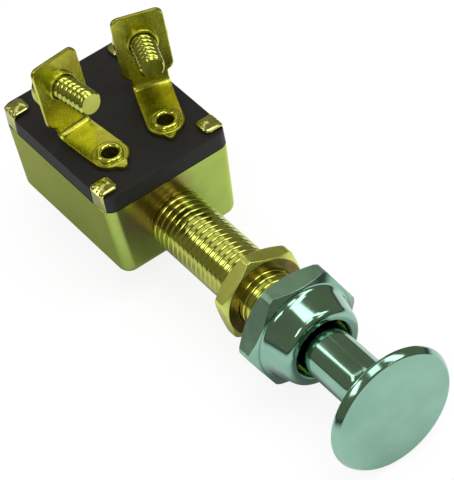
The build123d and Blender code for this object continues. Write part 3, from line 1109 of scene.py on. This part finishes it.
@dataclass
class HollowRivet(SeatedPiece):
    """Tubular rivet: a rolled ring on the foot, and a flush contact head below the board."""

    bore: float = 1.5
    bore_margin: float = 0.02
    bore_finish: Finish = DULL_SHADED_BRASS
    shank: float = 1.99
    ring_radius: float = 2.55
    ring_height: float = 0.6
    board: float = BOARD_THICKNESS
    head_radius: float = 3.18
    head_height: float = 1.2

    def dress(self, made: Object) -> None:
        """Gives the rivet its finish, and its bore a rough one, darker as painted shade.

        Args:
            made: Object of the rivet.
        """
        super().dress(made)
        axis, limit = self.seat.matrix(self.side).translation.xy, self.bore + self.bore_margin
        self.dress_part(made, self.bore_finish, lambda face: (face.center.xy / MM - axis).length < limit)

    def build(self) -> Object:
        """Makes the rivet.

        Returns:
            The rivet.
        """
        middle, half = (self.ring_radius + self.bore) / 2, (self.ring_radius - self.bore) / 2
        foot, low = self.lug.thickness, -self.board
        inside = low + self.head_height
        profile = [(0, low), (self.head_radius, low), (self.shank, inside), (self.shank, foot)]
        roll = arc((0, 0), 1, 0, 180, steps=14)
        profile += [(middle + half * x, foot + self.ring_height * y) for x, y in roll]
        profile += [(self.bore, inside), (0, inside)]
        made = Sketch()
        made.lathe(profile)
        made.place(self.seat.matrix(self.side) @ Matrix.Rotation(math.pi / 2, 4, "X"))
        return made.to_object(self.name)


@dataclass
class BindingScrew(SeatedPiece):
    """Machine screw through the lug: slotted head behind it, threaded end in front."""

    crest: float = 2.3
    root: float = 1.95
    pitch: float = 1.25
    crest_share: float = 0.2
    tip_inset: float = 0.05
    reach: float = 8.9
    overlap: float = 0.3
    head_radius: float = 5.0
    head_height: float = 1.2
    head_round: float = 0.3
    head_chamfer: float = 0.2
    slot_width: float = 1.0
    slot_depth: float = 0.6
    slot_half_length: float = 7.0
    slot_over: float = 1.0

    def build(self) -> Object:
        """Makes the screw.

        Returns:
            The screw.
        """
        back, tip = self.lug.thickness, self.root - self.tip_inset
        end, radius, chamfer = back + self.head_height, self.head_radius, self.head_chamfer
        whole = Sketch()
        ends = (-self.reach, back + self.overlap, tip)
        whole.thread(self.crest, self.root, self.pitch, *ends, self.crest_share)
        whole.lathe([(0, -self.reach), (tip, -self.reach)])
        head = Sketch()
        rounded = arc((radius - self.head_round, end - self.head_round), self.head_round, 0, 90)
        head.lathe([(0, back), (radius - chamfer, back), (radius, back + chamfer), *rounded, (0, end)])
        head_made = head.to_object("screw_head")
        slot = Sketch()
        half, long = self.slot_width / 2, self.slot_half_length
        corners = [(-half, long), (half, long), (half, -long), (-half, -long)]
        rings = []
        for along in (end - self.slot_depth, end + self.slot_over):
            rings.append(slot.add([Vector((x, along, z)) for x, z in corners]))
        slot.bridge(*rings)
        slot.faces += [tuple(ring) for ring in rings]
        carve(head_made, slot)
        matrix = self.seat.matrix(self.side) @ self.lug.screw_matrix()
        whole.place(matrix)
        made = whole.to_object(self.name)
        head_made.data.transform(Matrix.Scale(MM, 4) @ matrix @ Matrix.Scale(1 / MM, 4))
        shape = bmesh.new()
        shape.from_mesh(made.data)
        shape.from_mesh(head_made.data)
        shape.to_mesh(made.data)
        shape.free()
        bpy.data.objects.remove(head_made)
        return made


@dataclass
class MountingStem(Piece):
    """Threaded barrel with a bore for the rod, a neck in the case wall and a staked lip inside."""

    crest: float = 5.55
    root: float = 5.41
    pitch: float = 1.4
    crest_share: float = 0.62
    tip_inset: float = 0.05
    length: float = 38.5
    bore: float = 2.44
    neck: float = 4.12
    wall: float = WALL
    lip: float = 4.73
    lip_length: float = 0.9
    lip_chamfer: float = 0.15
    spigot: float = 3.2
    spigot_length: float = 1.6

    def build(self) -> Object:
        """Makes the stem.

        Returns:
            The stem.
        """
        made = Sketch()
        tip, back, chamfer = self.root - self.tip_inset, self.wall + self.lip_length, self.lip_chamfer
        made.thread(self.crest, self.root, self.pitch, -self.length, 0.0, tip, self.crest_share)
        inside = [(tip, 0.0), (self.neck, 0.0), (self.neck, self.wall), (self.lip - chamfer, self.wall)]
        inside += [(self.lip, self.wall + chamfer), (self.lip, back - chamfer), (self.lip - chamfer, back)]
        inside += [(self.spigot, back), (self.spigot, back + self.spigot_length)]
        inside += [(self.bore, back + self.spigot_length), (self.bore, -self.length), (tip, -self.length)]
        made.lathe(inside)
        return made.to_object(self.name)


@dataclass
class HexNut(Piece):
    """Hexagon nut, chamfered on both faces, with an optional round sleeve in front."""

    across: float
    place: float
    length: float
    turn: float
    face_share: float = 0.97
    corner_share: float = 0.975
    chamfer_angle: float = 30.0
    column_step: int = 4
    bore: float = 5.61
    edge: float = 0.16
    sharp: float = 25.0
    sleeve_base: float = 0.0
    sleeve_radius: float = 0.0
    sleeve_length: float = 0.0
    sleeve_round: float = 0.0
    sleeve_chamfer: float = 0.25
    blend_height: float = 0.55
    blend_length: float = 1.3
    side_finish: Finish | None = None
    side_slope: float = 0.1

    def sleeve(self, front: float) -> list[Flat]:
        """Outside of the sleeve: a hollow blend from the flange, a cone and a rounded end.

        Args:
            front: Place of the flange's front face.

        Returns:
            Radius and place along the axis of each point.
        """
        end, chamfer = front - self.sleeve_length, self.sleeve_chamfer
        taper = math.atan2(self.sleeve_base - self.sleeve_radius, self.sleeve_length)
        points = []
        for share in (step / 9 for step in range(10)):
            fall = self.blend_length * share * share
            lift = self.blend_height * (1 - share) ** 2
            points.append((self.sleeve_base + lift - fall * math.tan(taper), front - fall))
        middle = self.sleeve_radius - self.sleeve_round * (1 - math.sin(taper)) / math.cos(taper)
        soft, slope = self.sleeve_round, -math.degrees(taper)
        points += arc((middle, end + soft), soft, slope, -90, steps=10)
        return [*points, (self.bore + chamfer, end), (self.bore, end + chamfer)]

    def build(self) -> Object:
        """Makes the nut.

        Returns:
            The nut.
        """
        apothem = self.across / 2
        face = self.face_share * apothem
        back, front = -self.place, -self.place - self.length
        ending = self.sleeve(front) if self.sleeve_length else [(self.bore, front)]
        sixth, corner = 360 / 6, 360 / 12
        limit = self.corner_share * apothem / math.cos(math.radians(corner))
        cut = math.degrees(math.acos(apothem / limit))
        half = [*range(0, math.ceil(cut), self.column_step), cut, (cut + corner) / 2]
        angles = [-corner, *[-angle for angle in reversed(half[1:])], *half]
        columns = []
        for side, angle in ((side, angle) for side in range(6) for angle in angles):
            turn = math.radians(self.turn + corner + sixth * side + angle)
            reach = min(apothem / math.cos(math.radians(angle)), limit)
            bevel = (reach - face) * math.tan(math.radians(self.chamfer_angle))
            stations = [(self.bore, back), (face, back), (reach, back - bevel), (reach, front + bevel)]
            stations += [(face, front), *ending]
            columns.append([polar(radius, turn, along) for radius, along in stations])
        made = Sketch()
        rings = [made.add(ring) for ring in zip(*columns)]
        for lower, upper in zip(rings, [*rings[1:], rings[0]]):
            made.bridge(lower, upper)
        nut = made.to_object(self.name, self.sharp)
        soften(nut, self.edge)
        return nut

    def on_side(self, face: MeshPolygon) -> bool:
        """Tells whether a face is one of the flats, or of their chamfers if side_slope lets them in."""
        radius = math.hypot(face.center.x, face.center.z) / MM
        return abs(face.normal.y) < self.side_slope and radius > self.face_share * self.across / 2

    def dress(self, made: Object) -> None:
        """Gives the nut its finish, and its sides their own if they have one.

        Args:
            made: Object of the nut.
        """
        super().dress(made)
        if self.side_finish:
            self.dress_part(made, self.side_finish, self.on_side)


@dataclass
class PullKnob(Piece):
    """Turned knob: straight hub, concave flare and a broad disc with a low crown."""

    hub_radius: float = 4.65
    hub_back: float = -38.8
    hub_chamfer: float = 0.3
    hub_rows: Triple = (0.3, 0.6, 0.9)
    flare_start: float = -53.5
    flare_power: Flat = (3.0, 0.5)
    disc_back: float = -60.3
    disc_front: float = -62.0
    crown: float = 0.2
    radius: float = 12.0
    back_round: float = 0.25
    rim_turns: tuple[Flat, ...] = ((26.0, 0.3), (36.0, 6.0), (87.0, 0.4))
    rod_radius: float = 2.38
    rod_depth: float = 11.0
    steps: int = 144

    def rim(self) -> list[Flat]:
        """Front edge of the disc: tight, broad and tight sweeps, each by its end angle and radius.

        Returns:
            Radius and place along the axis of each point, from the side to the face.
        """
        points = [(self.radius, 0.0)]
        first = 0.0
        for end, bend in self.rim_turns:
            last = math.radians(end)
            radius, along = points[-1]
            for step in range(1, 9):
                turn = first + (last - first) * step / 8
                inward = bend * (math.cos(first) - math.cos(turn))
                forward = bend * (math.sin(turn) - math.sin(first))
                points.append((radius - inward, along - forward))
            first = last
        shift = self.disc_front - points[-1][1]
        return [(radius, along + shift) for radius, along in points]

    def build(self) -> Object:
        """Makes the knob.

        Returns:
            The knob.
        """
        hub, back, chamfer = self.hub_radius, self.hub_back, self.hub_chamfer
        edge, rim = self.radius - self.back_round, self.rim()
        floor = back - self.rod_depth
        profile = [(0, floor), (self.rod_radius, floor), (self.rod_radius, back)]
        profile += [(hub - chamfer, back), (hub, back - chamfer)]
        profile += [(hub, back + (self.flare_start - back) * share) for share in self.hub_rows]
        power, easing = self.flare_power
        for share in (step / 36 for step in range(37)):
            grow = share ** (power - easing * share * share)
            along = self.flare_start + share * (self.disc_back - self.flare_start)
            profile.append((hub + grow * (edge - hub), along))
        profile += arc((edge, self.disc_back - self.back_round), self.back_round, 90, 0, steps=6)[1:]
        profile += rim
        for share in (1 - step / 24 for step in range(1, 25)):
            profile.append((rim[-1][0] * share, self.disc_front - self.crown * (1 - share * share)))
        made = Sketch()
        made.lathe(profile, self.steps)
        return made.to_object(self.name)


@dataclass
class InsidePieces:
    """Pieces inside the case, which keep their solids' shapes and take a finish."""

    finishes: dict[str, Finish] = field(
        default_factory=lambda: {
            "plunger_rod": GROUND_STEEL,
            "rod_clip": GROUND_STEEL,
            "drag_leaf": GROUND_STEEL,
            "contact_spring": GROUND_STEEL,
            "carrier": MOULDED_PHENOLIC,
            "contact_bridge": STAMPED_BRASS,
            "button_left": WIPED_SILVER,
            "button_right": WIPED_SILVER,
            "insulating_liner": PRESSED_FIBRE,
            "cushion_ring": CUT_RUBBER,
        }
    )

    def dress(self, nodes: dict[str, Object]) -> None:
        """Gives each piece its finish and reports it.

        Args:
            nodes: Solids of the shared frame by name.
        """
        for name, finish in self.finishes.items():
            finish.apply(nodes[name])
            LOG.info("%s: %s", name, finish.name)


# Studio


@dataclass(frozen=True)
class Softbox:
    """Flat lamp that shines at the object, in metres. A glow of 1 is as bright as white paper."""

    name: str
    toward: Triple
    distance: float
    width: float
    height: float
    glow: float
    watts_per_glow: float = 4.0

    def build(self, target: Vector) -> Object:
        """Makes the lamp.

        Args:
            target: Point that the lamp faces.

        Returns:
            The lamp object.
        """
        light = bpy.data.lights.new(self.name, "AREA")
        light.shape = "RECTANGLE"
        light.size = self.width
        light.size_y = self.height
        light.energy = self.watts_per_glow * self.glow * self.width * self.height
        lamp = bpy.data.objects.new(self.name, light)
        direction = Vector(self.toward).normalized()
        lamp.location = target + direction * self.distance
        lamp.rotation_euler = direction.to_track_quat("Z", "Y").to_euler()
        lamp.visible_camera = False
        bpy.context.scene.collection.objects.link(lamp)
        return lamp


@dataclass(frozen=True)
class PhotoCamera:
    """Camera of the photograph, solved from its outline, in pixels and millimetres."""

    place: Triple = (-164.941, -330.293, 354.451)
    right: Triple = (0.80290, -0.57833, -0.14449)
    forward: Triple = (0.32934, 0.63240, -0.70114)
    focal: float = 2900.967
    centre: Flat = (220.45, 245.39)
    picture: Flat = (454.0, 480.0)

    def build(self) -> None:
        """Makes the camera and sets it as the scene's own."""
        data = bpy.data.cameras.new("photo_camera")
        long_side = max(self.picture)
        data.lens = self.focal * data.sensor_width / long_side
        data.shift_x = (self.picture[0] / 2 - self.centre[0]) / long_side
        data.shift_y = (self.centre[1] - self.picture[1] / 2) / long_side
        made = bpy.data.objects.new("photo_camera", data)
        right, back = Vector(self.right).normalized(), -Vector(self.forward).normalized()
        turn = Matrix((right, back.cross(right), back)).transposed().to_4x4()
        made.matrix_world = Matrix.Translation(Vector(self.place) * MM) @ turn
        bpy.context.scene.collection.objects.link(made)
        bpy.context.scene.camera = made


@dataclass(frozen=True)
class TableShade:
    """Soft shade for mirror-like surfaces. Centre and reach are in millimetres, its border in reaches."""

    centre: Flat
    reach: Flat
    depth: float
    border: Flat = (1.35, 0.6)

    def over(self, tree: NodeTree, place: NodeSocket, middle: Vector, dimmed: NodeSocket) -> NodeSocket:
        """Adds this shade to what dims the table.

        Args:
            tree: Tree of the table's material.
            place: Coordinates on the table.
            middle: Middle of the table in metres.
            dimmed: How much the table is dimmed without this shade.

        Returns:
            How much it is dimmed with it.
        """
        node = partial(add_node, tree)
        scale = [1 / (reach * MM) for reach in self.reach]
        offset = [(here - there * MM) * size for here, there, size in zip(middle, self.centre, scale)]
        moved = {"Location": (*offset, 0.0), "Scale": (*scale, 0.0)}
        spot = node("Mapping", moved, {"Vector": place})
        within = node("VectorMath", {"operation": "LENGTH"}, {0: spot}, "Value")
        limits = {"From Min": self.border[0], "From Max": self.border[1], "To Max": self.depth}
        dark = node("MapRange", {"interpolation_type": "SMOOTHSTEP", **limits}, {"Value": within})
        return node("Math", {"operation": "MAXIMUM"}, {0: dimmed, 1: dark})


@dataclass
class Studio:
    """White table in a dim room, with a softbox above, four lamps in front and three panels behind."""

    floor_size: float = 6.0
    floor_cuts: int = 8
    floor_tone: str = "#FBFBFA"
    floor_white: float = 0.85
    floor_gap_mm: float = 0.2
    near_mm: float = 70.0
    far_mm: float = 190.0
    far_strength: float = 0.10
    shades: tuple[TableShade, ...] = (
        TableShade((-10.0, 29.0), (26.0, 36.0), 0.60),
        TableShade((0.0, -28.0), (12.0, 30.0), 0.75),
        TableShade((14.0, -42.0), (9.0, 16.0), 0.45),
    )
    dome_strength: float = 0.74
    room: str = "#86816E"
    room_strength: float = 1.12
    softboxes: tuple[Softbox, ...] = (
        Softbox("softbox_overhead", (0.17, -0.06, 0.98), 0.55, 0.16, 0.40, 2.5),
        Softbox("lamp_front_right", (0.56, -0.40, 0.73), 0.60, 0.15, 0.30, 2.8),
        Softbox("lamp_front_middle", (0.02, -0.42, 0.91), 0.60, 0.18, 0.24, 2.2),
        Softbox("lamp_front_low", (0.44, -0.70, 0.56), 0.60, 0.13, 0.13, 2.4),
        Softbox("lamp_front_left", (-0.55, -0.42, 0.72), 0.60, 0.14, 0.24, 3.0),
        Softbox("panel_right", (0.354, 0.674, 0.646), 0.325, 0.08, 0.08, 0.9),
        Softbox("panel_back", (-0.066, 0.632, 0.772), 0.320, 0.17, 0.045, 0.85),
        Softbox("panel_left", (-0.483, 0.606, 0.634), 0.317, 0.05, 0.12, 2.6),
    )

    def floor(self, middle: Vector, height: float) -> Object:
        """Makes the table top.

        Args:
            middle: Middle of the object in metres.
            height: Height of the table in metres.

        Returns:
            The table top.
        """
        mesh = bpy.data.meshes.new("white_table")
        shape = bmesh.new()
        cuts = self.floor_cuts
        bmesh.ops.create_grid(shape, x_segments=cuts, y_segments=cuts, size=self.floor_size / 2)
        shape.to_mesh(mesh)
        shape.free()
        made = bpy.data.objects.new("white_table", mesh)
        made.location = (middle.x, middle.y, height)
        bpy.context.scene.collection.objects.link(made)
        mesh.materials.append(self.paper(middle))
        return made

    def paper(self, middle: Vector) -> Material:
        """Makes the table's material.

        Args:
            middle: Middle of the table in metres.

        Returns:
            The material.
        """
        # Matt white sheet. In mirror-like surfaces it fades into the dim room, as a small table does.
        made = bpy.data.materials.new("paper_white_matt")
        made.use_nodes = True
        tree = made.node_tree
        tree.nodes.clear()
        node = partial(add_node, tree)
        place = node("TexCoord", output="Object")
        away = node("VectorMath", {"operation": "LENGTH"}, {0: place}, "Value")
        limits = {"From Min": self.near_mm * MM, "From Max": self.far_mm * MM}
        dimmed = node("MapRange", {"interpolation_type": "SMOOTHSTEP", **limits}, {"Value": away})
        for shade in self.shades:
            dimmed = shade.over(tree, place, middle, dimmed)
        mirrored, camera = (node("LightPath", output=ray) for ray in ("Is Glossy Ray", "Is Camera Ray"))
        far = node("Math", {"operation": "MULTIPLY"}, {0: dimmed, 1: mirrored})
        seen = node("Math", {"operation": "MULTIPLY", 1: self.floor_white}, {0: camera})
        matt = node("BsdfDiffuse", {"Color": linear(self.floor_tone)})
        dim = node("Emission", {"Color": linear(WHITE), "Strength": self.far_strength})
        glow = node("Emission", {"Color": linear(WHITE), "Strength": 1.0})
        faded = node("MixShader", links={0: far, 1: matt, 2: dim})
        surface = node("MixShader", links={0: seen, 1: faded, 2: glow})
        node("OutputMaterial", links={"Surface": surface})
        return made

    def build(self, low: Vector, high: Vector) -> None:
        """Makes the table, the room and the lamps.

        Args:
            low: Lowest corner of the object in metres.
            high: Highest corner of the object in metres.
        """
        middle = (low + high) / 2
        self.floor(middle, low.z - self.floor_gap_mm * MM)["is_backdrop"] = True
        world = bpy.data.worlds.new("studio_room")
        bpy.context.scene.world = world
        world.use_nodes = True
        world.node_tree.nodes.clear()
        node = partial(add_node, world.node_tree)
        dome = node("Background", {"Color": linear(WHITE), "Strength": self.dome_strength})
        room = node("Background", {"Color": linear(self.room), "Strength": self.room_strength})
        backdrop = node("Background", {"Color": linear(WHITE), "Strength": 1.0})
        mirrored, camera = (node("LightPath", output=ray) for ray in ("Is Glossy Ray", "Is Camera Ray"))
        around = node("MixShader", links={0: mirrored, 1: dome, 2: room})
        mixed = node("MixShader", links={0: camera, 1: around, 2: backdrop})
        node("OutputWorld", links={"Surface": mixed})
        for softbox in self.softboxes:
            softbox.build(middle)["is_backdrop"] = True
        bpy.context.scene.view_settings.view_transform = "Standard"


def main() -> None:
    """Builds the switch, its studio and its camera."""
    logging.basicConfig(level=logging.INFO, format="%(name)s: %(message)s")
    for leftover in list(bpy.data.objects):
        bpy.data.objects.remove(leftover)
    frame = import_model()
    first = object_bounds()
    seat, lug = Seat(), Lug()
    pieces: list[Piece] = [
        DrawnCase("case", Body.BASE, DRAWN_BRASS),
        TerminalBoard("terminal_board", Body.BASE, MOULDED_PHENOLIC, seat),
        Terminal("terminal_left", Body.BASE, STAMPED_BRASS, Side.LEFT, seat, lug),
        Terminal("terminal_right", Body.BASE, STAMPED_BRASS, Side.RIGHT, seat, lug),
        HollowRivet("rivet_left", Body.BASE, ROLLED_BRASS, Side.LEFT, seat, lug),
        HollowRivet("rivet_right", Body.BASE, ROLLED_BRASS, Side.RIGHT, seat, lug),
        BindingScrew("screw_left", Body.SCREW_LEFT, TURNED_BRASS, Side.LEFT, seat, lug),
        BindingScrew("screw_right", Body.SCREW_RIGHT, TURNED_BRASS, Side.RIGHT, seat, lug),
        MountingStem("mounting_stem", Body.BASE, TURNED_BRASS),
        HexNut(
            "back_nut",
            Body.BACK_NUT,
            # Faces and bore in a darker brass that is painted shade, flats in the lighter one
            SHADED_FACE_BRASS,
            across=15.7,
            place=22.7,
            length=3.4,
            turn=40.2,
            side_finish=MILLED_BRASS,
            side_slope=0.95,
        ),
        HexNut(
            "face_nut",
            Body.FACE_NUT,
            CHROME_PLATE,
            across=19.8,
            place=32.9,
            length=4.4,
            turn=55.1,
            sleeve_base=9.0,
            sleeve_radius=7.5,
            sleeve_length=5.5,
            sleeve_round=1.5,
            side_finish=SATIN_CHROME,
        ),
        PullKnob("knob", Body.PLUNGER, CHROME_PLATE),
    ]
    for piece in pieces:
        piece.make()
    InsidePieces().dress(frame["nodes"])
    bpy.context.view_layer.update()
    Studio().build(Vector(first[0]), Vector(first[1]))
    PhotoCamera().build()
    LOG.info("sizes written")


if __name__ == "__main__":
    main()
